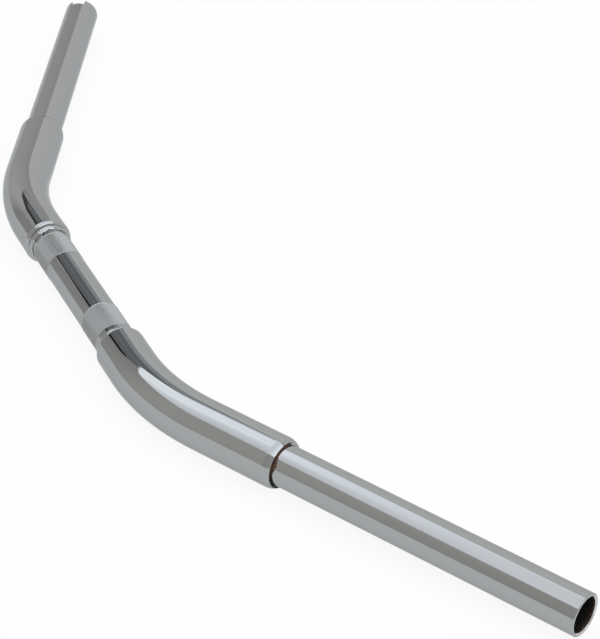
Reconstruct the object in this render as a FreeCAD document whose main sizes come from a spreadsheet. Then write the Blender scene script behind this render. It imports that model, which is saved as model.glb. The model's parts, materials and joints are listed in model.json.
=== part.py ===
"""Chromed steel handlebar: a knurled clamp tube, two bent tubes of larger bore and two grip tubes.

Lengths are in millimetres and angles in degrees. The origin is the middle of the clamp tube's axis.
+X runs along the clamp tube to the rider's left, +Y is the pull-back towards the rider, +Z is up.
"""
import FreeCAD
import Part
import os

import Sketcher

# Driving dimensions, one row each: name, value, what it is
DIMENSIONS = [
    ("tube_od", 25.4, "outside diameter of the clamp tube and the grip tubes"),
    ("tube_wall", 2.1, "wall of the clamp tube and the grip tubes"),
    ("fat_step", 3.175, "step from the outside of the slim tubes up to the outside of the bent tubes"),
    ("fat_wall", 3.4, "wall of the bent tubes; their bore takes the spigots of the other tubes"),
    ("clear_length", 134.0, "clamp tube left bare between the two bent tubes"),
    ("lead_length", 24.0, "straight start of a bent tube, next to the clamp tube"),
    ("bend_radius", 150.0, "centreline radius of the bend"),
    ("bend_angle", 27.5, "angle of the bend"),
    ("tail_length", 61.0, "straight end of a bent tube, next to the grip tube"),
    ("grip_length", 201.0, "grip tube left bare outside the bent tube"),
    ("clamp_spigot", 20.0, "length of the clamp tube's spigot inside a bent tube"),
    ("grip_spigot", 40.0, "length of the grip tube's spigot inside a bent tube"),
    ("band_margin", 7.8, "plain tube between a knurled band and its bent tube"),
    ("knurl_width", 26.4, "width of a knurled band"),
    ("knurl_rise", 0.2, "height that the knurling stands above the tube"),
    ("recess_gap", 1.5, "radial gap between a grip tube and the mouth of its bent tube"),
    ("recess_depth", 2.6, "depth of that mouth"),
    ("braze_height", 1.4, "height of the braze in the mouth, from its floor"),
    ("mouth_roll", 4.0, "radius to which a bent tube's outer end is rolled inwards"),
    ("mouth_land", 0.15, "flat left on the mouth's edge"),
    ("shoulder_roll", 3.3, "radius to which a bent tube's inner end is rolled inwards"),
    ("weld_length", 4.5, "leg of the inner weld along the clamp tube"),
    ("weld_height", 1.25, "leg of the inner weld up the end of the bent tube"),
    ("weld_radius", 3.4, "radius of the inner weld's crowned face"),
    ("weld_ledge", 0.05, "end of the bent tube left bare above the inner weld"),
    ("rim_rounding", 0.7, "rounding of the grip tube's outer rim"),
    ("rim_chamfer", 0.6, "chamfer of the grip tube's bore at its end"),
    ("notch_width", 10.5, "width of the throttle notch in the right-hand grip tube"),
    ("notch_depth", 6.0, "depth of the throttle notch along the tube"),
    ("notch_corner", 0.8, "corner radius at the notch's floor"),
    ("notch_turn", -9.5, "turn of the notch about the tube, from straight up towards the rider"),
]

# Sizes that follow from the driving dimensions, one row each: name, formula
DERIVED = [
    ("tube_r", "=tube_od / 2"),
    ("tube_bore_r", "=tube_od / 2 - tube_wall"),
    ("fat_od", "=tube_od + 2 * fat_step"),
    ("fat_r", "=fat_od / 2"),
    ("spigot_r", "=fat_r - fat_wall"),
    ("riser_spacing", "=clear_length - 2 * band_margin - knurl_width"),
    ("knurl_r", "=tube_od / 2 + knurl_rise"),
    ("mouth_r", "=tube_od / 2 + recess_gap"),
    ("shoulder_at", "=recess_depth - braze_height"),
    ("lip_drop", "=fat_step - recess_gap - mouth_land"),
    ("lip_length", "=sqrt(2 * mouth_roll * lip_drop - lip_drop ^ 2)"),
    ("mouth_length", "=lip_length + recess_depth"),
    ("shoulder_drop", "=fat_step - weld_height - weld_ledge"),
    ("shoulder_length", "=sqrt(2 * shoulder_roll * shoulder_drop - shoulder_drop ^ 2)"),
    ("face_x", "=clear_length / 2"),
    ("bend_x", "=clear_length / 2 + lead_length"),
    ("end_x", "=bend_x + bend_radius * sin(bend_angle * 1deg) + tail_length * cos(bend_angle * 1deg)"),
    ("end_y", "=bend_radius * (1 - cos(bend_angle * 1deg)) + tail_length * sin(bend_angle * 1deg)"),
]

SHEET = "dims"
OUT = "parts"

doc = FreeCAD.newDocument("handlebar")


def make_sheet():
    """Spreadsheet of the driving dimensions, then the sizes that follow from them."""
    sheet = doc.addObject("Spreadsheet::Sheet", SHEET)
    rows = [(name, repr(value), note) for name, value, note in DIMENSIONS]
    rows += [(name, formula, "derived") for name, formula in DERIVED]
    for row, (name, content, note) in enumerate(rows, start=1):
        sheet.set(f"A{row}", name)
        sheet.set(f"B{row}", content)
        sheet.set(f"C{row}", note)
        sheet.setAlias(f"B{row}", name)
    doc.recompute()
    return sheet


sheet = make_sheet()
NAMES = sorted([row[0] for row in DIMENSIONS] + [row[0] for row in DERIVED], key=len, reverse=True)


def bound(formula):
    """The formula with every size name pointing at the spreadsheet, as an expression needs it."""
    words = []
    word = ""
    for letter in formula + " ":
        if letter.isalnum() or letter == "_":
            word += letter
            continue
        words.append(f"{SHEET}.{word}" if word in NAMES else word)
        words.append(letter)
        word = ""
    return "".join(words).strip()


def value(formula):
    """The number that a formula in size names gives now."""
    number = sheet.evalExpression(bound(formula))
    return float(getattr(number, "Value", number))


def make_body(label):
    body = doc.addObject("PartDesign::Body", label)
    body.Label = label
    return body


def plane(body, role):
    """One of the body's own origin planes, by its role."""
    return next(f for f in body.Origin.OriginFeatures if f.Role == role)


def new_sketch(body, name, role):
    sketch = body.newObject("Sketcher::SketchObject", name)
    sketch.AttachmentSupport = (plane(body, role), [""])
    sketch.MapMode = "FlatFace"
    return sketch


def bind(sketch, kind, places, formula):
    """Adds a dimension to the sketch and ties it to the spreadsheet."""
    index = sketch.addConstraint(Sketcher.Constraint(kind, *places, value(formula)))
    sketch.setExpression(f"Constraints[{index}]", bound(formula))


def outline(sketch, corners, arcs=None):
    """Closed outline through corners given as formulas (x, y); arcs maps a side's number to its radius."""
    arcs = arcs or {}
    points = [FreeCAD.Vector(value(x), value(y), 0) for x, y in corners]
    count = len(points)
    for side in range(count):
        start, end = points[side], points[(side + 1) % count]
        if side in arcs:
            radius = value(arcs[side])
            chord = end - start
            middle = (start + end) * 0.5
            across = FreeCAD.Vector(chord.y, -chord.x, 0).normalize()
            sagitta = radius - (radius**2 - (chord.Length / 2) ** 2) ** 0.5
            sketch.addGeometry(Part.Arc(start, middle + across * sagitta, end))
        else:
            sketch.addGeometry(Part.LineSegment(start, end))
    for side in range(count):
        following = (side + 1) % count
        last = end_points(sketch, points, side, arcs)[1]
        first = end_points(sketch, points, following, arcs)[0]
        sketch.addConstraint(Sketcher.Constraint("Coincident", side, last, following, first))
    for side, (x, y) in enumerate(corners):
        first = end_points(sketch, points, side, arcs)[0]
        bind(sketch, "DistanceX", (-1, 1, side, first), x)
        bind(sketch, "DistanceY", (-1, 1, side, first), y)
    for side, radius in arcs.items():
        bind(sketch, "Radius", (side,), radius)


def end_points(sketch, points, side, arcs):
    """Which end of a side comes first along the outline: arcs may be stored the other way round."""
    if side not in arcs:
        return 1, 2
    stored = sketch.Geometry[side].StartPoint
    return (1, 2) if stored.distanceToPoint(points[side]) < 1e-6 else (2, 1)


def revolve(body, sketch, name, kind="PartDesign::Revolution"):
    """Full turn of a profile about the sketch's horizontal axis, added or, as a groove, cut away."""
    turned = body.newObject(kind, name)
    turned.Profile = sketch
    turned.ReferenceAxis = (sketch, ["H_Axis"])
    turned.Angle = 360.0
    doc.recompute()
    return turned


def ring_edges(feature, radius, centre):
    """Names of the feature's circular edges of one radius about one centre."""
    names = []
    for number, edge in enumerate(feature.Shape.Edges, start=1):
        curve = edge.Curve
        if not isinstance(curve, Part.Circle) or abs(curve.Radius - radius) > 1e-6:
            continue
        if curve.Center.distanceToPoint(centre) < 1e-6:
            names.append(f"Edge{number}")
    return names


def round_edges(body, base, edges, formula, name, kind="PartDesign::Fillet"):
    """Fillet or chamfer of a size from the spreadsheet on named edges of the base feature."""
    feature = body.newObject(kind, name)
    feature.Base = (base, edges)
    size = "Radius" if kind.endswith("Fillet") else "Size"
    setattr(feature, size, value(formula))
    feature.setExpression(size, bound(formula))
    doc.recompute()
    return feature


def place(item, x="0", y="0", turn="0", roll="0", what="Placement"):
    """Puts a body or sketch at (x, y), turned about Z and first rolled about its own X."""
    item.setExpression(
        what,
        f"create(<<placement>>; create(<<vector>>; {bound(x)}; {bound(y)}; 0);"
        f" create(<<rotation>>; create(<<vector>>; 0; 0; 1); {bound(turn)})"
        f" * create(<<rotation>>; create(<<vector>>; 1; 0; 0); {bound(roll)}))",
    )


def clamp_tube():
    """Straight tube with two knurled bands and a turned spigot at each end, drawn from its left-hand end."""
    body = make_body("clamp_tube")
    sketch = new_sketch(body, "clamp_profile", "XY_Plane")
    whole = "clear_length + 2 * clamp_spigot"
    first_band = "clamp_spigot + (clear_length - riser_spacing - knurl_width) / 2"
    second_band = "clamp_spigot + (clear_length + riser_spacing - knurl_width) / 2"
    corners = [
        ("0", "tube_bore_r"),
        ("0", "spigot_r"),
        ("clamp_spigot", "spigot_r"),
        ("clamp_spigot", "tube_r"),
    ]
    for start in (first_band, second_band):
        finish = f"{start} + knurl_width"
        corners += [(start, "tube_r"), (f"{start} + knurl_rise", "knurl_r")]
        corners += [(f"{finish} - knurl_rise", "knurl_r"), (finish, "tube_r")]
    corners += [
        ("clamp_spigot + clear_length", "tube_r"),
        ("clamp_spigot + clear_length", "spigot_r"),
        (whole, "spigot_r"),
        (whole, "tube_bore_r"),
    ]
    outline(sketch, corners)
    revolve(body, sketch, "clamp_turning")
    place(body, x="-face_x - clamp_spigot")
    return body


def bend_tube():
    """Left-hand bent tube: a tube swept along line, arc and line, with both ends rolled in."""
    body = make_body("left_bend_tube")
    spine = new_sketch(body, "bend_line", "XY_Plane")
    lead, radius, angle = value("lead_length"), value("bend_radius"), value("bend_angle")
    up = FreeCAD.Vector(0, 0, 1)
    turn = FreeCAD.Rotation(up, angle)
    half_turn = FreeCAD.Rotation(up, angle / 2)
    heading = turn.multVec(FreeCAD.Vector(1, 0, 0))
    start = FreeCAD.Vector(lead, 0, 0)
    centre = FreeCAD.Vector(lead, radius, 0)
    half_way = centre + half_turn.multVec(FreeCAD.Vector(0, -radius, 0))
    bend_end = centre + turn.multVec(FreeCAD.Vector(0, -radius, 0))
    sweep_end = bend_end + heading * value("tail_length - mouth_length")
    spine.addGeometry(Part.LineSegment(FreeCAD.Vector(0, 0, 0), start))
    spine.addGeometry(Part.Arc(start, half_way, bend_end))
    spine.addGeometry(Part.LineSegment(bend_end, sweep_end))
    spine.addConstraint(Sketcher.Constraint("Coincident", 0, 1, -1, 1))
    spine.addConstraint(Sketcher.Constraint("Horizontal", 0))
    spine.addConstraint(Sketcher.Constraint("Tangent", 0, 2, 1, 1))
    spine.addConstraint(Sketcher.Constraint("Tangent", 1, 2, 2, 1))
    bind(spine, "Distance", (0,), "lead_length")
    bind(spine, "Radius", (1,), "bend_radius")
    bind(spine, "Distance", (2,), "tail_length - mouth_length")
    bind(spine, "Angle", (2,), "bend_angle * 1deg")
    section = new_sketch(body, "bend_section", "YZ_Plane")
    for number, size in enumerate(("fat_r", "spigot_r")):
        section.addGeometry(Part.Circle(FreeCAD.Vector(0, 0, 0), up, value(size)))
        section.addConstraint(Sketcher.Constraint("Coincident", number, 3, -1, 1))
        bind(section, "Radius", (number,), size)
    doc.recompute()
    pipe = body.newObject("PartDesign::AdditivePipe", "bend_sweep")
    pipe.Profile = section
    pipe.Spine = (spine, ["Edge1", "Edge2", "Edge3"])
    doc.recompute()
    rolled_mouth(body)
    rolled_shoulder(body)
    place(body, x="face_x")
    return body


def rolled_mouth(body):
    """Outer end of the bent tube: rolled in towards the grip tube and counterbored round it."""
    sketch = new_sketch(body, "mouth_profile", "XY_Plane")
    place(sketch, x="end_x - face_x", y="end_y", turn="bend_angle", what="AttachmentOffset")
    corners = [
        ("-recess_depth", "spigot_r"),
        ("-recess_depth", "mouth_r"),
        ("0", "mouth_r"),
        ("0", "mouth_r + mouth_land"),
        ("-lip_length", "fat_r"),
        ("-mouth_length", "fat_r"),
        ("-mouth_length", "spigot_r"),
    ]
    outline(sketch, corners, arcs={3: "mouth_roll"})
    return revolve(body, sketch, "mouth_turning")


def rolled_shoulder(body):
    """Inner end of the bent tube, rolled in as far as the top of the weld."""
    sketch = new_sketch(body, "shoulder_profile", "XY_Plane")
    corners = [
        ("0", "fat_r - shoulder_drop"),
        ("0", "fat_r + shoulder_drop"),
        ("shoulder_length", "fat_r + shoulder_drop"),
        ("shoulder_length", "fat_r"),
    ]
    outline(sketch, corners, arcs={3: "shoulder_roll"})
    return revolve(body, sketch, "shoulder_turning", "PartDesign::Groove")


def grip_tube(label, turn, x, roll="0"):
    """Straight grip tube with a turned spigot, its x measured from the bent tube's mouth."""
    body = make_body(label)
    sketch = new_sketch(body, f"{label}_profile", "XY_Plane")
    root = "-grip_spigot - recess_depth"
    corners = [
        (root, "tube_bore_r"),
        (root, "spigot_r"),
        ("-shoulder_at", "spigot_r"),
        ("-shoulder_at", "tube_r"),
        ("grip_length", "tube_r"),
        ("grip_length", "tube_bore_r"),
    ]
    outline(sketch, corners)
    turned = revolve(body, sketch, f"{label}_turning")
    tip = FreeCAD.Vector(value("grip_length"), 0, 0)
    rim = ring_edges(turned, value("tube_r"), tip)
    rounded = round_edges(body, turned, rim, "rim_rounding", f"{label}_rim")
    bore = ring_edges(rounded, value("tube_bore_r"), tip)
    round_edges(body, rounded, bore, "rim_chamfer", f"{label}_bore_rim", "PartDesign::Chamfer")
    place(body, x=x, y="end_y", turn=turn, roll=roll)
    return body


def throttle_notch(body):
    """Notch through the wall at the tube's open end, where a throttle sensor's tab sits."""
    sketch = new_sketch(body, "notch_outline", "XY_Plane")
    floor = "grip_length - notch_depth"
    beyond = "grip_length + notch_depth"
    half = "notch_width / 2"
    outline(sketch, [(floor, f"-({half})"), (beyond, f"-({half})"), (beyond, half), (floor, half)])
    notch = body.newObject("PartDesign::Pocket", "throttle_notch")
    notch.Profile = sketch
    notch.Reversed = True
    notch.Length = value("tube_od")
    notch.setExpression("Length", bound("tube_od"))
    doc.recompute()
    corners = []
    for number, edge in enumerate(notch.Shape.Edges, start=1):
        ends = [vertex.Point for vertex in edge.Vertexes]
        upright = len(ends) == 2 and abs(ends[0].x - ends[1].x) + abs(ends[0].y - ends[1].y) < 1e-6
        if upright and abs(ends[0].x - value(floor)) < 1e-6:
            corners.append(f"Edge{number}")
    return round_edges(body, notch, corners, "notch_corner", "notch_corners")


def weld_ring():
    """Left-hand inner weld: a crowned fillet between the bent tube's end and the clamp tube."""
    body = make_body("left_inner_weld")
    sketch = new_sketch(body, "weld_profile", "XY_Plane")
    corners = [("0", "tube_r"), ("weld_length", "tube_r"), ("weld_length", "tube_r + weld_height")]
    outline(sketch, corners, arcs={2: "weld_radius"})
    revolve(body, sketch, "weld_bead")
    place(body, x="face_x - weld_length")
    return body


def braze_ring():
    """Left-hand outer braze: a plain ring on the floor of the bent tube's mouth, round the spigot."""
    body = make_body("left_outer_braze")
    sketch = new_sketch(body, "braze_profile", "XY_Plane")
    floor = "-recess_depth"
    crest = "-shoulder_at"
    outline(sketch, [(floor, "spigot_r"), (crest, "spigot_r"), (crest, "mouth_r"), (floor, "mouth_r")])
    revolve(body, sketch, "braze_fill")
    place(body, x="end_x", y="end_y", turn="bend_angle")
    return body


def mirrored(source, label):
    """The same piece on the rider's right."""
    copy = doc.addObject("Part::Mirroring", label)
    copy.Label = label
    copy.Source = source
    copy.Base = FreeCAD.Vector(0, 0, 0)
    copy.Normal = FreeCAD.Vector(1, 0, 0)
    return copy


def build():
    """Every piece of the bar, as objects whose labels name their files."""
    bend, weld, braze = bend_tube(), weld_ring(), braze_ring()
    left_grip = grip_tube("left_grip_tube", "bend_angle", "end_x")
    right_grip = grip_tube("right_grip_tube", "180 - bend_angle", "-end_x", "notch_turn")
    throttle_notch(right_grip)
    pieces = [clamp_tube(), bend, left_grip, right_grip, weld, braze]
    pieces.append(mirrored(bend, "right_bend_tube"))
    pieces.append(mirrored(weld, "right_inner_weld"))
    pieces.append(mirrored(braze, "right_outer_braze"))
    doc.recompute()
    return pieces


def check(pieces):
    """Stops the build if an object failed or a piece is not one sound solid."""
    for item in doc.Objects:
        if "Invalid" in item.State or "Error" in item.State:
            raise RuntimeError(f"{item.Label} failed: {item.State}")
    for piece in pieces:
        shape = piece.Shape
        if shape.isNull() or not shape.isValid() or len(shape.Solids) != 1:
            raise RuntimeError(f"{piece.Label} is not one valid solid")


pieces = build()
check(pieces)
os.makedirs(OUT, exist_ok=True)
for piece in pieces:
    piece.Shape.exportStep(os.path.join(OUT, f"{piece.Label}.step"))
    print(piece.Label, round(piece.Shape.Volume, 1))
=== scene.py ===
"""Looks of a chromed steel handlebar: turned profiles carried along the bar's centreline, in metres.

Every piece is a closed loop of (distance along the bar, radius) turned round the bar's own bent centreline.
+X is the rider's left, +Y the rider's side and +Z up; distance along the bar is positive to the left.
"""

import json
import math

import bpy
import numpy as np
from mathutils import Euler, Matrix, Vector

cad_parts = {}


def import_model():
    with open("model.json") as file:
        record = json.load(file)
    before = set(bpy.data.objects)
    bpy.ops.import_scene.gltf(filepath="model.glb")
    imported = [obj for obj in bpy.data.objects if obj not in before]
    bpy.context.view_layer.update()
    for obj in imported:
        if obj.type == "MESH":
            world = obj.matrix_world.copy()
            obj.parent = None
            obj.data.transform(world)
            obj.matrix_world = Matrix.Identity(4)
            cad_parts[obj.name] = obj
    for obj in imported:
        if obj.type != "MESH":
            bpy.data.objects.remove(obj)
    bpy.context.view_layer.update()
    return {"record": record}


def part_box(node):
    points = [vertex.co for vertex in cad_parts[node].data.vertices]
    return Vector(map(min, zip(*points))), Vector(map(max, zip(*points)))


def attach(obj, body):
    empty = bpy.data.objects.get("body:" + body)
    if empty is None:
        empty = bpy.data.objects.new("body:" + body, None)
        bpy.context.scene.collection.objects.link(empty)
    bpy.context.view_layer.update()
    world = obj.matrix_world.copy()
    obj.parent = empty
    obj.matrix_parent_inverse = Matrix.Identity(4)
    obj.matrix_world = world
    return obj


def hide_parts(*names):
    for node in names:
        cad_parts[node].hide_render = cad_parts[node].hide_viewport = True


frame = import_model()
bpy.context.scene.view_settings.view_transform = "Standard"

MM = 0.001
mounts = {mount["name"]: mount for mount in frame["record"]["mounts"]}

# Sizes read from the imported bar
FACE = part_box("left_bend_tube")[0].x
FAT_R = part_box("left_bend_tube")[1].z
TUBE_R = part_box("left_grip_tube")[1].z
KNURL_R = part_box("clamp_tube")[1].z
BORE_R = mounts["left_bar_end_bore"]["dims"]["r_mm"] * MM
BAND_OUTER = mounts["riser_clamp_seats"]["dims"]["length_mm"] / 2 * MM
grip_axis = mounts["left_grip_seat"]["axis"]
BEND = math.atan2(grip_axis[1], grip_axis[0])

# Sizes of the bends, joins and ends
BEND_R = 150 * MM
GRIP = 201 * MM
SPIGOT_R = 12.475 * MM
CLAMP_SPIGOT = 20 * MM
GRIP_SPIGOT = 40 * MM
SHOULDER_EDGE_R = 14.0 * MM
SHOULDER_ROLL = 3.3 * MM
MOUTH_R = 14.2 * MM
MOUTH_EDGE_R = 14.35 * MM
MOUTH_DEPTH = 2.6 * MM
MOUTH_LIP = 6.0 * MM
LIP_POWER = 2.6
RIM_ROUND = 0.7 * MM
RIM_CHAMFER = 0.6 * MM
NOTCH_WIDTH = 10.5 * MM
NOTCH_DEPTH = 6.0 * MM
NOTCH_CORNER = 0.8 * MM
NOTCH_AT = math.radians(90 + 9.5)
NOTCH_HALF = math.asin(NOTCH_WIDTH / 2 / TUBE_R)
OPEN_END = 14 * MM

# Sizes of the knurled bands
BAND = 26 * MM
KNURL_STARTS = 72
KNURL_DEPTH = 0.36 * MM
KNURL_CHAMFER = 0.2 * MM
KNURL_SINK = 0.7 * MM
KNURL_INSET = 0.4 * MM
KNURL_ROOT = 0.9 * MM
POINTS_A_PITCH = 4

# Sizes of the weld beads and the braze, whose unevenness is a list of (waves round the ring, size in mm)
WELD_LENGTH = 4.5 * MM
WELD_HEIGHT = 1.25 * MM
WELD_CROWN = 0.93 * MM
WELD_RIPPLE = [(47, 0.05), (53, 0.04), (7, 0.10), (12, 0.08), (23, 0.05)]
WELD_WANDER = [(5, 0.22), (9, 0.16), (17, 0.08), (31, 0.05)]
BRAZE_DEPTH = 1.2 * MM
BRAZE_COVER = 0.1 * MM
BRAZE_CREEP = 0.5 * MM
BRAZE_FILLET = 0.6 * MM
BRAZE_LUMPS = [(6, 0.12), (13, 0.10), (29, 0.08)]

# Sizes of the stain at a mouth, and at an open end of the rim's pale painted reflection and of the bore's
# plate, oxide and dark painted shade
STAIN = 0.8 * MM
STAIN_LONGEST = 2.5 * MM
STAIN_BLEND = 1.0 * MM
SHEEN_BLEND = 0.6 * MM
BORE_PLATED = 0.75 * MM
BORE_BLEND = 0.3 * MM
BORE_OXIDE = 1.6 * MM

# Angles of wear in degrees and seeds of unevenness, by side: 1 is the left, -1 the right
PLATED_AT = {1: 20, -1: 200}
STAINED_AT = {1: 150, -1: 330}
RIPPLE_SEED = {1: 3, -1: 5}
WANDER_SEED = {1: 11, -1: 13}
BRAZE_SEED = {1: 21, -1: 23}

# How far a hidden edge laps into its neighbour, and how near counts as on a surface
LAP = 0.02 * MM
TOUCH = 0.05 * MM

# The bent tube's outer mouth, from the grip's middle point, and the straight runs on each side of the bend
grip_middle = mounts["left_grip_seat"]["pos_m"]
mouth_x = grip_middle[0] - GRIP / 2 * math.cos(BEND)
mouth_y = grip_middle[1] - GRIP / 2 * math.sin(BEND)
TAIL = (mouth_y - BEND_R * (1 - math.cos(BEND))) / math.sin(BEND)
BEND_START = mouth_x - BEND_R * math.sin(BEND) - TAIL * math.cos(BEND)
MOUTH = BEND_START + BEND_R * BEND + TAIL
MOUTH_FLOOR = MOUTH - MOUTH_DEPTH
GRIP_SEAT = MOUTH - BRAZE_DEPTH
TIP = MOUTH + GRIP

# Angles round the bar, from its inner side up over the top
AROUND = np.linspace(0, 2 * np.pi, 192, endpoint=False)[None, :]

# Values of the mask: a rim painted pale as a painted reflection, sound plating, dark painted shade and
# brown oxide
RIM_SHEEN, PLATED, PAINTED_SHADE, BROWN = -1.0, 0.0, 0.5, 1.0


def centreline(s):
    """Point and inward unit vector of the centreline at distance s: straight, arc of BEND_R, straight."""
    side = np.where(s < 0, -1.0, 1.0)
    distance = np.abs(s)
    turn = np.clip((distance - BEND_START) / BEND_R, 0, BEND)
    before = np.minimum(distance, BEND_START)
    after = np.maximum(distance - BEND_START - BEND_R * BEND, 0)
    x = before + BEND_R * np.sin(turn) + after * np.cos(turn)
    y = BEND_R * (1 - np.cos(turn)) + after * np.sin(turn)
    point = np.stack([side * x, y, 0 * x], -1)
    across = np.stack([-side * np.sin(turn), np.cos(turn), 0 * x], -1)
    return point, across


def carried(s, r, phi):
    """Grid of points at distance s, radius r and angle phi: centre + r (cos phi across + sin phi up)."""
    s, r, phi = np.broadcast_arrays(s, r, phi)
    point, across = centreline(s)
    up = np.array([0.0, 0.0, 1.0])
    return point + (r * np.cos(phi))[..., None] * across + (r * np.sin(phi))[..., None] * up


def mesh_of(name, points, corners, values, label):
    """Mesh of quads from points and corner numbers, with one value per point under a label."""
    mesh = bpy.data.meshes.new(name)
    mesh.vertices.add(len(points))
    mesh.vertices.foreach_set("co", points.astype(np.float32).ravel())
    mesh.loops.add(corners.size)
    mesh.loops.foreach_set("vertex_index", corners.astype(np.int32).ravel())
    mesh.polygons.add(len(corners))
    mesh.polygons.foreach_set("loop_start", np.arange(0, corners.size, 4, dtype=np.int32))
    mesh.update(calc_edges=True)
    mesh.validate()
    held = mesh.attributes.new(label, "FLOAT", "POINT")
    held.data.foreach_set("value", values.astype(np.float32).ravel())
    return mesh


def closed_grid(name, grid, finish, nodes, wear_and_shade=PLATED, sharp=35):
    """Object from a grid of points that closes on itself both ways, faces outwards, riding the bar."""
    rows, columns = grid.shape[:2]
    index = np.arange(rows * columns).reshape(rows, columns)
    ahead = np.roll(index, -1, 0)
    corners = np.stack([index, np.roll(index, -1, 1), np.roll(ahead, -1, 1), ahead], -1).reshape(-1, 4)
    points = grid.reshape(-1, 3)
    a, b, c, d = (points[corners[:, k]] for k in range(4))
    volume = np.einsum("ij,ij->i", a, np.cross(b, c) + np.cross(c, d)).sum()
    if volume < 0:
        corners = corners[:, ::-1]
    mesh = mesh_of(name, points, corners, np.broadcast_to(wear_and_shade, (rows, columns)), "wear_and_shade")
    mesh.shade_smooth()
    mesh.set_sharp_from_angle(angle=math.radians(sharp))
    mesh.materials.append(finish)
    piece = bpy.data.objects.new(name, mesh)
    bpy.context.scene.collection.objects.link(piece)
    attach(piece, "root")
    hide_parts(*nodes)


def run(start, end, step, guard=0.3 * MM):
    """Straight run of profile points a step apart, from start up to end, with a guard point at each end."""
    start, end = np.array(start, float), np.array(end, float)
    length = np.linalg.norm(end - start)
    inner = np.linspace(0, 1, max(2, int(round(length / step)) + 1))[:-1]
    if length > 4 * guard:
        inner = np.union1d(inner, [guard / length, 1 - guard / length])
    return start + inner[:, None] * (end - start)


def rounding(centre, radius, first, last, steps):
    """Arc of profile points about a centre, from the first angle up to the last, in degrees."""
    angle = np.radians(np.linspace(first, last, steps + 1))[:-1]
    return np.array(centre) + radius * np.stack([np.cos(angle), np.sin(angle)], -1)


def ring_grid(face_s, face_r, buried, side):
    """Grid of a ring: the rows of its face, then one row for each (distance, radius) of its buried foot."""
    face_s, face_r = np.broadcast_arrays(face_s, face_r)
    foot_s, foot_r = np.repeat(np.array(buried).T[:, :, None], AROUND.size, 2)
    return carried(side * np.concatenate([face_s, foot_s]), np.concatenate([face_r, foot_r]), AROUND)


def lumps(phi, waves, seed):
    """Unevenness round a ring: a sum of sines of whole waves and sizes in mm, with fixed random phases."""
    random = np.random.default_rng(seed)
    phase = random.uniform(0, 2 * np.pi, len(waves))
    return sum(size * np.sin(count * phi + p) for (count, size), p in zip(waves, phase)) * MM


def arc_window(phi, middle, half, blend):
    """1 within half of a middle angle, falling to 0 over blend; all in degrees."""
    off = np.abs((np.degrees(phi) - middle + 180) % 360 - 180)
    return np.clip((half - off) / blend + 0.5, 0, 1)


def linear(code):
    """Linear colour with alpha 1 from an sRGB hex code."""
    srgb = np.array([int(code[k : k + 2], 16) for k in (1, 3, 5)]) / 255
    value = np.where(srgb <= 0.04045, srgb / 12.92, ((srgb + 0.055) / 1.055) ** 2.4)
    return (*value.tolist(), 1.0)


def add(tree, kind, inputs=None, **settings):
    """Adds a node with its settings; an input is a value, an output or a node, for its first output."""
    made = tree.nodes.new(kind)
    for name, setting in settings.items():
        setattr(made, name, setting)
    for socket, given in (inputs or {}).items():
        if isinstance(given, bpy.types.Node):
            given = next(output for output in given.outputs if output.enabled)
        if isinstance(given, bpy.types.NodeSocket):
            tree.links.new(given, made.inputs[socket])
        else:
            made.inputs[socket].default_value = given
    return made


def new_finish(name):
    """Empty node material and its tree."""
    finish = bpy.data.materials.new(name)
    finish.use_nodes = True
    finish.node_tree.nodes.clear()
    return finish, finish.node_tree


CHROME = linear("#A1A4A5")
CHROME_EDGE = linear("#D6D7D8")
KNURL_CHROME = linear("#ADB0B1")
# Pale rim colour: painted reflection, standing in for a brighter reflection on the rim's end
SHEEN_COLOUR = linear("#CDCECD")
# Dark colours of painted shade, for recesses, corners and the deep bore
SHADE_DARKEST = linear("#141412")
SHADE_MOTTLED = linear("#2C2926")
OXIDE_DARK = linear("#3D2E27")
OXIDE_LIGHT = linear("#7A5B47")
BARE_ROUGH = 0.6
BARE_METALLIC = 0.3
PIT_SPACING_MM = 11.0
PIT_MM = 0.22
PIT_EDGE_MM = 0.40


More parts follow.
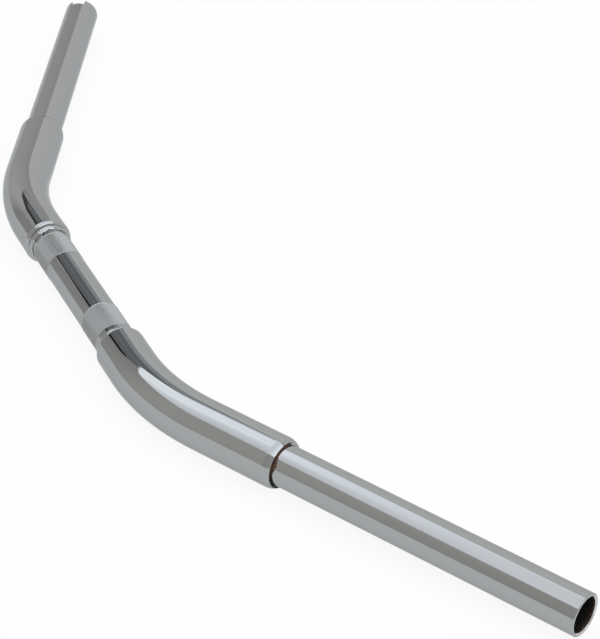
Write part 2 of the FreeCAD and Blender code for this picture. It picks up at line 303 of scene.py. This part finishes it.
def chrome_plate(name, rough, wave_mm, wave_height_mm, plate=CHROME):
    """Bright chrome over polished steel: a clean mirror with slow polishing waves and a few tiny pits.

    The mask says where the rim is painted pale, a painted reflection, and how far the plating gives way: to
    dark painted shade first and then to brown oxide, each with a ragged edge.
    """
    finish, tree = new_finish(name)
    place = add(tree, "ShaderNodeTexCoord").outputs["Object"]
    mask = add(tree, "ShaderNodeAttribute", attribute_name="wear_and_shade").outputs["Fac"]
    # Noise of a grain in mm and a detail: the plate's ragged edge, oxide, mottling of the painted shade,
    # polish and waves
    ragged, rusty, shade_noise, buffed, waves = (
        add(tree, "ShaderNodeTexNoise", {"Vector": place, "Scale": 1 / (grain * MM), "Detail": detail})
        for grain, detail in ((1.3, 3.0), (1.1, 4.0), (4.0, 3.0), (35.0, 3.0), (wave_mm, 1.0))
    )
    # Where the plate gives way, to brown oxide and to dark painted shade: past the ragged edge of the mask,
    # or in a pit
    spread = add(tree, "ShaderNodeMath", {0: ragged, 1: 0.5, 2: -0.25}, operation="MULTIPLY_ADD")
    worn_and_shaded = add(tree, "ShaderNodeMath", {0: mask, 1: spread}, operation="ADD")
    unplated_and_shaded = add(tree, "ShaderNodeMapRange", {"Value": worn_and_shaded, "From Min": 0.30, "From Max": 0.36})
    pits = add(tree, "ShaderNodeTexVoronoi",
               {"Vector": place, "Scale": 1 / (PIT_SPACING_MM * MM), "Randomness": 1.0})
    pit = add(tree, "ShaderNodeMapRange",
              {"Value": pits, "From Min": PIT_MM / PIT_SPACING_MM, "From Max": PIT_EDGE_MM / PIT_SPACING_MM,
               "To Min": 0.8, "To Max": 0.0})
    wear_and_shade = add(tree, "ShaderNodeMath", {0: unplated_and_shaded, 1: pit}, operation="MAXIMUM")
    # Colours under the plate, brown oxide and dark painted shade, and of the plate with its rim painted
    # pale as a painted reflection
    rust = add(tree, "ShaderNodeMapRange", {"Value": rusty, "From Min": 0.35, "From Max": 0.65})
    oxide = add(tree, "ShaderNodeMix",
                {"Factor": rust, "A": OXIDE_DARK, "B": OXIDE_LIGHT}, data_type="RGBA")
    # Painted shade: near-black, mottled
    shade_mottle = add(tree, "ShaderNodeMapRange", {"Value": shade_noise, "From Min": 0.4, "From Max": 0.7})
    shaded = add(tree, "ShaderNodeMix", {"Factor": shade_mottle, "A": SHADE_DARKEST, "B": SHADE_MOTTLED}, data_type="RGBA")
    browned = add(tree, "ShaderNodeMapRange", {"Value": worn_and_shaded, "From Min": 0.64, "From Max": 0.82})
    steel = add(tree, "ShaderNodeMix", {"Factor": browned, "A": shaded, "B": oxide}, data_type="RGBA")
    # The rim painted pale: painted reflection
    pale_rim = add(tree, "ShaderNodeMapRange", {"Value": mask, "From Min": PLATED, "From Max": RIM_SHEEN})
    clean = add(tree, "ShaderNodeMix", {"Factor": pale_rim, "A": plate, "B": SHEEN_COLOUR}, data_type="RGBA")
    colour = add(tree, "ShaderNodeMix", {"Factor": wear_and_shade, "A": clean, "B": steel}, data_type="RGBA")
    # Polish, metal and relief
    polish = add(tree, "ShaderNodeMapRange",
                 {"Value": buffed, "From Min": 0.3, "From Max": 0.7,
                  "To Min": rough * 0.8, "To Max": rough * 1.3})
    dull = add(tree, "ShaderNodeMix", {"Factor": wear_and_shade, "A": polish, "B": BARE_ROUGH}, data_type="FLOAT")
    metal = add(tree, "ShaderNodeMapRange", {"Value": wear_and_shade, "To Min": 1.0, "To Max": BARE_METALLIC})
    relief = add(tree, "ShaderNodeBump",
                 {"Height": waves, "Strength": 1.0, "Distance": wave_height_mm * MM})
    surface = add(tree, "ShaderNodeBsdfPrincipled",
                  {"Base Color": colour, "Metallic": metal, "Roughness": dull,
                   "Specular Tint": CHROME_EDGE, "Normal": relief})
    add(tree, "ShaderNodeOutputMaterial", {"Surface": surface})
    return finish


# The tubes' mirror, the knurling's frosted sparkle, the weld's lumpy shine and the braze's brown crust
bright = chrome_plate("bright chrome plate", 0.04, 18.0, 0.006)
knurled = chrome_plate("chrome plate on knurling", 0.28, 3.0, 0.004, KNURL_CHROME)
beaded = chrome_plate("chrome plate on weld", 0.06, 1.8, 0.04)
crusted = chrome_plate("oxidised braze", 0.15, 0.6, 0.05)


def clamp_tube():
    """Plain tube turned about the bar's middle: TUBE_R outside, sunk under the knurls, BORE_R inside."""
    end = FACE + CLAMP_SPIGOT
    first, last = BAND_OUTER - BAND + KNURL_INSET, BAND_OUTER - KNURL_INSET
    low = TUBE_R - KNURL_SINK
    half = [
        (0, TUBE_R), (first, TUBE_R), (first, low), (last, low), (last, TUBE_R),
        (FACE, TUBE_R), (FACE, SPIGOT_R), (end, SPIGOT_R), (end, BORE_R),
    ]
    corners = [(-s, r) for s, r in half[:0:-1]] + half
    profile = np.concatenate([run(a, b, 5 * MM) for a, b in zip(corners, corners[1:] + corners[:1])])
    grid = carried(profile[:, :1], profile[:, 1:], AROUND)
    closed_grid("clamp_tube_plain", grid, bright, ["clamp_tube"])


def knurl_band(name, side):
    """Knurled sleeve: pointed diamonds cut by two helical triangle waves, with a plain chamfer at each end.

    With x along and y round the band in pitches, depth = max(|tri(x + y)|, |tri(x - y)|) below KNURL_R,
    fading out over the last half pitch at each end.
    """
    pitch = 2 * np.pi * TUBE_R / KNURL_STARTS
    rows = int(round(POINTS_A_PITCH * BAND / pitch))
    pitches = rows / POINTS_A_PITCH
    x = np.arange(rows + 1)[:, None] / POINTS_A_PITCH
    y = np.arange(POINTS_A_PITCH * KNURL_STARTS)[None, :] / POINTS_A_PITCH
    wave_a = np.abs((x + y + 0.5) % 1 - 0.5) * 2
    wave_b = np.abs((x - y + 0.5) % 1 - 0.5) * 2
    fade = np.clip(2 * np.minimum(x, pitches - x), 0, 1)
    radius = KNURL_R - KNURL_DEPTH * fade * np.maximum(wave_a, wave_b)
    along = (x / pitches - 0.5) * BAND
    reach = BAND / 2 + KNURL_CHAMFER
    for turned_r in (TUBE_R - LAP, TUBE_R - KNURL_ROOT):
        ring = np.full((1, y.size), turned_r)
        radius = np.concatenate([ring, radius, ring])
        along = np.concatenate([[[-reach]], along, [[reach]]])
    s = side * (BAND_OUTER - BAND / 2) + along
    phi = y / KNURL_STARTS * 2 * np.pi
    closed_grid(name, carried(s, radius, phi), knurled, ["clamp_tube"], sharp=15)


def mouth_rust_and_shade(phi, side):
    """How far the braze in a mouth is rusted or painted in shade round the tube: brown oxide, with a dark
    stretch of painted shade and a plated stretch.
    """
    plated = arc_window(phi, PLATED_AT[side], half=46, blend=16)
    # Painted shade: a dark stretch of the ring
    shaded = arc_window(phi, PLATED_AT[side] + 222, half=50, blend=20)
    return (1 - plated) * (BROWN - (BROWN - PAINTED_SHADE) * shaded)


def bend_tube(name, side):
    """Bent tube: a rolled shoulder, a mouth drawn in and counterbored round the grip, and a plain bore.

    The shoulder is an arc of SHOULDER_ROLL. Over MOUTH_LIP before the mouth the radius falls from FAT_R to
    MOUTH_EDGE_R as t to the power LIP_POWER.
    """
    turn = math.acos(1 - (FAT_R - SHOULDER_EDGE_R) / SHOULDER_ROLL)
    shoulder = FACE + SHOULDER_ROLL * math.sin(turn)
    t = np.linspace(0, 1, 24, endpoint=False)
    lip = np.stack([MOUTH - MOUTH_LIP * (1 - t), FAT_R - (FAT_R - MOUTH_EDGE_R) * t ** LIP_POWER], -1)
    profile = np.concatenate([
        rounding((shoulder, FAT_R - SHOULDER_ROLL), SHOULDER_ROLL, 90 + math.degrees(turn), 90, 14),
        run((shoulder, FAT_R), (MOUTH - MOUTH_LIP, FAT_R), 1.6 * MM),
        lip,
        run((MOUTH, MOUTH_EDGE_R), (MOUTH, MOUTH_R), 1 * MM),
        run((MOUTH, MOUTH_R), (MOUTH_FLOOR, MOUTH_R), 1 * MM),
        run((MOUTH_FLOOR, MOUTH_R), (MOUTH_FLOOR, SPIGOT_R), 1 * MM),
        run((MOUTH_FLOOR, SPIGOT_R), (FACE, SPIGOT_R), 5 * MM),
        run((FACE, SPIGOT_R), (FACE, SHOULDER_EDGE_R), 1 * MM),
    ])
    s, r = profile[:, :1], profile[:, 1:]
    # Painted shade: the mouth's recess and the end face in the corner under the weld are painted dark
    in_mouth = (r < MOUTH_R + TOUCH) & (s > MOUTH_FLOOR - 1 * MM)
    recess_shade = 1.1 * PAINTED_SHADE * np.clip(2 * mouth_rust_and_shade(AROUND, side), 0, 1)
    crease_shade = np.where(s < FACE + 2 * TOUCH, PAINTED_SHADE, PLATED)
    wear_and_shade = np.where(in_mouth, recess_shade, crease_shade)
    closed_grid(name, carried(side * s, r, AROUND), bright, [name], wear_and_shade=wear_and_shade)


def notch_shift(phi):
    """How far the open end is cut back at angle phi: NOTCH_DEPTH across the notch, with rounded corners."""
    off = np.abs((phi - NOTCH_AT + np.pi) % (2 * np.pi) - np.pi)
    inside = np.clip((NOTCH_HALF - off) / (NOTCH_CORNER / TUBE_R), 0, 1)
    corner = np.sqrt(1 - (1 - inside) ** 2)
    return np.where(off < NOTCH_HALF, NOTCH_DEPTH - NOTCH_CORNER * (1 - corner), 0.0)


def notch_angles():
    """AROUND with extra angles at each side of the notch: its wall, and the curve of its corner."""
    beside = NOTCH_HALF + np.array([0.0004, -0.0004, -0.01, -0.025, -0.045])
    return np.sort(np.concatenate([AROUND[0], NOTCH_AT - beside, NOTCH_AT + beside]))[None, :]


def grip_rust_shade_sheen(s, r, phi, side):
    """Mask of a grip tube: a stain by the mouth with its dark stretch of painted shade, a rim painted pale
    as painted reflection, and in the bore brown oxide, then dark painted shade.
    """
    stain = STAIN + (STAIN_LONGEST - STAIN) * arc_window(phi, STAINED_AT[side], half=14, blend=26)
    # A real stain by the mouth, carrying the mouth's dark stretch of painted shade
    stain_and_shade = np.clip(0.5 + (MOUTH + stain - s) / STAIN_BLEND, 0, 1) * mouth_rust_and_shade(phi, side)
    # The rim's end painted pale: painted reflection, growing over a short blend
    pale_rim = RIM_SHEEN * np.clip((TUBE_R - RIM_ROUND - r) / SHEEN_BLEND, 0, 1)
    depth = TIP - s
    # In the bore: dark painted shade deep in, rising to brown oxide near the rim past a plated strip
    oxide = 0.45 + 0.75 * np.exp(-depth / BORE_OXIDE)
    oxide = oxide * np.clip((depth - BORE_PLATED) / BORE_BLEND, 0, 1)
    in_bore = r < BORE_R + TOUCH
    on_rim = s > TIP - RIM_CHAMFER
    return np.where(in_bore, oxide, np.where(on_rim, pale_rim, stain_and_shade))


def grip_tube(name, side):
    """Straight grip tube with a spigot, rounded rim and chamfered bore; the right-hand end is notched.

    The notch draws back the points of the open end, less and less from the rim down to OPEN_END.
    """
    root = MOUTH_FLOOR - GRIP_SPIGOT
    plain = MOUTH + 6 * MM
    opening = TIP - OPEN_END
    profile = np.concatenate([
        run((root, SPIGOT_R), (GRIP_SEAT, SPIGOT_R), 10 * MM),
        run((GRIP_SEAT, SPIGOT_R), (GRIP_SEAT, TUBE_R), 1 * MM),
        run((GRIP_SEAT, TUBE_R), (plain, TUBE_R), 0.25 * MM),
        run((plain, TUBE_R), (opening, TUBE_R), 8 * MM),
        run((opening, TUBE_R), (TIP - RIM_ROUND, TUBE_R), 1 * MM),
        rounding((TIP - RIM_ROUND, TUBE_R - RIM_ROUND), RIM_ROUND, 90, 0, 6),
        run((TIP, TUBE_R - RIM_ROUND), (TIP, BORE_R + RIM_CHAMFER), 0.4 * MM),
        run((TIP, BORE_R + RIM_CHAMFER), (TIP - RIM_CHAMFER, BORE_R), 0.3 * MM),
        run((TIP - RIM_CHAMFER, BORE_R), (opening, BORE_R), 0.5 * MM),
        run((opening, BORE_R), (root, BORE_R), 10 * MM),
        run((root, BORE_R), (root, SPIGOT_R), 1 * MM),
    ])
    s, r = profile[:, :1], profile[:, 1:]
    phi, cut = AROUND, 0.0
    if side < 0:
        phi = notch_angles()
        cut = np.clip((s - opening) / (OPEN_END - 1.5 * RIM_ROUND), 0, 1) * notch_shift(phi)
    wear_and_shade = grip_rust_shade_sheen(s, r, phi, side)
    closed_grid(name, carried(side * (s - cut), r, phi), bright, [name], wear_and_shade=wear_and_shade)


def inner_weld(name, side):
    """Weld bead: a crowned fillet whose crown and foot wander, with the ripples of a run laid in one pass.

    Over t from the foot to the top, the crown rises square to the fillet as sin(pi t) to the power 0.8.
    """
    t = np.concatenate([[0, 0.03], np.linspace(0.06, 0.94, 15), [0.97, 1]])[:, None]
    slope = math.atan2(WELD_HEIGHT, WELD_LENGTH)
    foot, top = FACE - WELD_LENGTH, TUBE_R + WELD_HEIGHT
    ripple = lumps(AROUND, WELD_RIPPLE, RIPPLE_SEED[side])
    wander = lumps(AROUND, WELD_WANDER, WANDER_SEED[side])
    raised = np.sin(np.pi * t) ** 0.8 * (WELD_CROWN + ripple)
    face_s = foot + t * WELD_LENGTH - raised * math.sin(slope) + (1 - t) * wander
    face_r = TUBE_R + t * WELD_HEIGHT + raised * math.cos(slope)
    back, deep = FACE + 0.3 * MM, TUBE_R - 0.5 * MM
    buried = [(back, top - 0.4 * MM), (back, deep), (foot + 0.5 * MM, deep)]
    # Painted shade: dark lines along the bead's foot and top, in its corners
    crease_shade = 1.2 * PAINTED_SHADE * np.clip(1 - np.minimum(t, 1 - t) / 0.05, 0, 1)
    wear_and_shade = np.concatenate([crease_shade, np.full((len(buried), 1), PLATED)])
    grid = ring_grid(face_s, face_r, buried, side)
    closed_grid(name, grid, beaded, [name], wear_and_shade=wear_and_shade, sharp=60)


def outer_braze(name, side):
    """Ring of braze on the mouth's floor: a hollow fill that creeps up both walls, flush where plated.

    Over t from the grip to the mouth's wall, the unplated face dips as (2 t - 1) squared and the plated one
    falls as (1 - t) squared.
    """
    t = np.linspace(0, 1, 13)[:, None]
    # Brown oxide round the ring, with a plated stretch and a dark stretch of painted shade
    ring_rust_and_shade = mouth_rust_and_shade(AROUND, side)
    uneven = lumps(AROUND, BRAZE_LUMPS, BRAZE_SEED[side])
    crust = GRIP_SEAT + BRAZE_COVER + BRAZE_CREEP * (2 * t - 1) ** 2 + uneven
    plated = MOUTH - 1.5 * LAP + BRAZE_FILLET * (1 - t) ** 2
    face_s = plated + np.clip(2 * ring_rust_and_shade, 0, 1) * (crust - plated)
    face_r = TUBE_R - LAP + t * (MOUTH_R - TUBE_R + 2 * LAP)
    buried = [(MOUTH_FLOOR, MOUTH_R), (MOUTH_FLOOR, TUBE_R - 0.1 * MM)]
    # Painted shadow: the fill turns from brown to dark towards the mouth's wall, under the lip
    shade = np.concatenate([1 - 0.4 * t, np.ones((len(buried), 1))])
    grid = ring_grid(face_s, face_r, buried, side)
    closed_grid(name, grid, crusted, [name], wear_and_shade=shade * ring_rust_and_shade, sharp=60)


clamp_tube()
for word, side in (("left", 1), ("right", -1)):
    knurl_band(f"{word}_knurl", side)
    bend_tube(f"{word}_bend_tube", side)
    grip_tube(f"{word}_grip_tube", side)
    inner_weld(f"{word}_inner_weld", side)
    outer_braze(f"{word}_outer_braze", side)

# The studio: a pale tent whose far corner AB and left corner BC are seen in the chrome
FLOOR_Z = -FAT_R
FLOOR_REACH = 8.0
FLOOR_WHITE = 0.9
TENT_TOP = 1.6
TENT_HIGH = 2.6
CORNER_AB = np.array([-1.256, 0.599])
CORNER_BC = np.array([-1.809, -0.922])
WALL_A_END = np.array([1.2, 1.49])
WALL_C_END = np.array([0.9, -2.19])
CORNER_CD = np.array([2.4, -1.9])
WALL_D_END = np.array([2.4, 1.49])
SILL = 0.79
SILL_MIDDLE = 0.935
SILL_AT_C = 1.06
LEVEL = 1.5


def staged(name, grid, glow, finish):
    """Studio sheet over an open grid of points, each with its own glow."""
    rows, columns = grid.shape[:2]
    index = np.arange(rows * columns).reshape(rows, columns)
    corners = np.stack([index[:-1, :-1], index[:-1, 1:], index[1:, 1:], index[1:, :-1]], -1).reshape(-1, 4)
    mesh = mesh_of(name, grid.reshape(-1, 3), corners, np.broadcast_to(glow, (rows, columns)), "glow")
    mesh.materials.append(finish)
    made = bpy.data.objects.new(name, mesh)
    bpy.context.scene.collection.objects.link(made)
    return made


def card(name, grid, glow, colour):
    """Self-lit studio card over a grid of points; the camera sees past it."""
    finish, tree = new_finish(name)
    lit = add(tree, "ShaderNodeAttribute", attribute_name="glow").outputs["Fac"]
    lamp = add(tree, "ShaderNodeEmission", {"Color": linear(colour), "Strength": lit})
    add(tree, "ShaderNodeOutputMaterial", {"Surface": lamp})
    made = staged(name, grid, np.array(glow) * LEVEL, finish)
    made.visible_camera = False


def flat(x, y, z):
    """Grid of points over x and y at one height."""
    return np.stack([x, y, np.full_like(x, z)], -1)


def on_wall(start, end, spots):
    """Points on an upright wall from rows of (share of its length, height)."""
    spots = np.array(spots, float)
    below = start + spots[..., :1] * (end - start)
    return np.concatenate([below, spots[..., 1:]], -1)


def upright(name, start, end, low, high, stops, colour):
    """Upright card over a floor line, with a glow for each (share of its length, glow) stop.

    low and high are its heights, one for all stops or one for each.
    """
    shares, glows = np.array(stops).T
    heights = [np.broadcast_to(height, shares.shape) for height in (low, high)]
    spots = np.stack([np.stack([shares, height], -1) for height in heights])
    card(name, on_wall(start, end, spots), glows, colour)


def floor():
    """White floor: lit as a matt sheet for its shadows, and white to the camera and to the chrome."""
    finish, tree = new_finish("white matt floor")
    seen = add(tree, "ShaderNodeLightPath").outputs
    direct = seen["Is Camera Ray"]
    for ray in ("Is Glossy Ray", "Is Transmission Ray"):
        direct = add(tree, "ShaderNodeMath", {0: direct, 1: seen[ray]}, operation="ADD")
    share = add(tree, "ShaderNodeMath", {0: direct, 1: FLOOR_WHITE}, operation="MULTIPLY")
    matt = add(tree, "ShaderNodeBsdfDiffuse", {"Color": linear("#F0F0F0")})
    white = add(tree, "ShaderNodeEmission", {"Color": linear("#FFFFFF"), "Strength": 1.0})
    both = add(tree, "ShaderNodeMixShader", {0: share, 1: matt, 2: white})
    add(tree, "ShaderNodeOutputMaterial", {"Surface": both})
    sides = [-FLOOR_REACH, FLOOR_REACH]
    staged("floor", flat(*np.meshgrid(sides, sides), FLOOR_Z), 1.0, finish)


def ceiling():
    """Bright cool ceiling in long strips along the left grip, brightest in two bands at its far end.

    u runs along the grip and v across it. From the far edge towards the camera the strips' glows, listed
    by v, even out to 1 and then all rise together.
    """
    heading = math.radians(28)
    strips = [
        (-1.2, 0.80), (-1.0, 0.84), (-0.6, 0.94), (-0.37, 1.04), (-0.15, 1.22),
        (0.05, 1.40), (0.27, 1.24), (0.5, 1.38), (0.85, 1.14), (1.6, 1.0),
    ]
    near_edge, steps = 1.45, 40
    v, glow = np.array(strips).T[:, :, None]
    far_edge = np.interp(v, [-1.2, -0.3315, 1.6], [-0.805, -1.9313, -0.9043])
    u = far_edge + (near_edge - far_edge) * np.linspace(0, 1, steps)
    evened = np.clip((u + 0.78) / 0.5, 0, 1)
    raised = np.clip((u - 0.1) / 0.9, 0, 1)
    glow = glow + evened * (1.0 - glow) + 0.4 * raised
    x = u * math.cos(heading) - v * math.sin(heading)
    y = u * math.sin(heading) + v * math.cos(heading)
    card("ceiling", flat(x, y, TENT_TOP), glow, "#F8FBFF")


def studio():
    """Grey walls A (far right), B (far), C (left) and D (behind the camera) under a bright cool ceiling.

    A striped dark gap is left above wall B. A slanted piece of wall C stands across its left end, a shadow
    lies along its sill and a pale piece stands in its right end. A grey roof closes the tent above.
    """
    floor()
    ceiling()

    lit_a = [(0, 0.67), (0.3, 0.66), (0.6, 0.58), (1, 0.51)]
    dim_a = [(0, 0.34), (0.3, 0.35), (0.6, 0.37), (1, 0.38)]
    high_a = [1.47, 1.43, 1.35, 1.28]
    upright("wall_a", CORNER_AB, WALL_A_END, FLOOR_Z, high_a, lit_a, "#FFFDFC")
    upright("wall_a_top", CORNER_AB, WALL_A_END, high_a, TENT_HIGH, dim_a, "#FCFDFF")

    wall_b = [(0, 0.43), (0.5, 0.53), (0.68, 0.56), (0.85, 0.46), (1, 0.38)]
    stripes = [0.38, 0.37, 0.38, 0.15, 0.22, 0.15, 0.27, 0.17, 0.21, 0.14, 0.25, 0.16, 0.19, 0.13]
    gap_b = list(zip(np.linspace(0, 1, len(stripes)), stripes))
    sill_b, sill_gap = (
        np.interp([share for share, _ in stops], [0.5, 0.68, 1], [SILL, SILL_MIDDLE, SILL_AT_C])
        for stops in (wall_b, gap_b)
    )
    upright("wall_b", CORNER_AB, CORNER_BC, FLOOR_Z, sill_b, wall_b, "#FFFCF9")
    upright("gap_b", CORNER_AB, CORNER_BC, sill_gap, TENT_HIGH, gap_b, "#FAFCFF")

    facing_b = math.radians(-20)
    inset = 12 * MM * np.array([math.cos(facing_b), math.sin(facing_b)])
    in_gap = CORNER_AB + inset, CORNER_BC + inset
    slanted = [[(1.0, SILL_AT_C), (1.0, 1.75)], [(0.88, 1.42), (0.80, 1.75)]]
    card("gap_side", on_wall(*in_gap, slanted), 0.38, "#FFFBF5")
    shadow = [
        [(0.38, SILL), (0.5, SILL), (0.68, SILL_MIDDLE), (1.0, SILL_AT_C), (0.88, 1.42)],
        [(0.38, SILL + 0.11), (0.5, SILL + 0.14), (0.62, 1.0), (0.82, SILL_AT_C + 0.01), (0.76, 1.40)],
    ]
    card("gap_edge", on_wall(*in_gap, shadow), [0.09, 0.08, 0.05, 0.02, 0.02], "#FFFFFF")
    pale = [
        [(0.09, SILL), (0.34, SILL), (0.37, SILL)],
        [(0.09, SILL + 0.01), (0.34, 0.97), (0.37, SILL + 0.01)],
    ]
    card("gap_pale", on_wall(*in_gap, pale), 0.43, "#FDFDFD")

    wall_c = [(0, 0.34), (0.12, 0.37), (0.25, 0.42), (0.41, 0.46), (0.68, 0.45), (0.8, 0.40), (1, 0.38)]
    upright("wall_c", CORNER_BC, WALL_C_END, FLOOR_Z, TENT_HIGH, wall_c, "#FFFBF5")
    upright("wall_cd", WALL_C_END, CORNER_CD, FLOOR_Z, TENT_HIGH, [(0, 0.38), (1, 0.42)], "#FFFBF5")
    upright("wall_d", CORNER_CD, WALL_D_END, FLOOR_Z, TENT_HIGH, [(0, 0.42), (1, 0.42)], "#FFFCF8")
    x, y = np.meshgrid([-1.0, 5.0], [-4.0, 1.2], indexing="ij")
    card("roof", flat(x, y, TENT_HIGH), 0.41, "#FFFBF5")


def world():
    """Plain white surroundings."""
    made = bpy.data.worlds.new("white room")
    made.use_nodes = True
    tree = made.node_tree
    tree.nodes.clear()
    sky = add(tree, "ShaderNodeBackground", {"Color": linear("#FFFFFF"), "Strength": 1.0})
    add(tree, "ShaderNodeOutputWorld", {"Surface": sky})
    bpy.context.scene.world = made


def camera():
    """Camera at the photograph's viewing angle, worked out from the bar's outline."""
    eye = (1.115, -0.377, 0.742)
    tilt, roll, heading = 56.607, -1.615, 65.955
    sensor_mm, focal_px, centre_px, frame_px = 36.0, 2176.0, (288.8, 338.2), (600, 639)
    lens = bpy.data.cameras.new("camera")
    lens.sensor_width = sensor_mm
    lens.lens = sensor_mm * focal_px / max(frame_px)
    lens.shift_x = (frame_px[0] / 2 - centre_px[0]) / max(frame_px)
    lens.shift_y = (centre_px[1] - frame_px[1] / 2) / max(frame_px)
    lens.clip_start = 0.01
    made = bpy.data.objects.new("camera", lens)
    turn = Euler([math.radians(angle) for angle in (tilt, roll, heading)])
    made.matrix_world = Matrix.LocRotScale(eye, turn, None)
    bpy.context.scene.collection.objects.link(made)
    bpy.context.scene.camera = made


studio()
world()
camera()
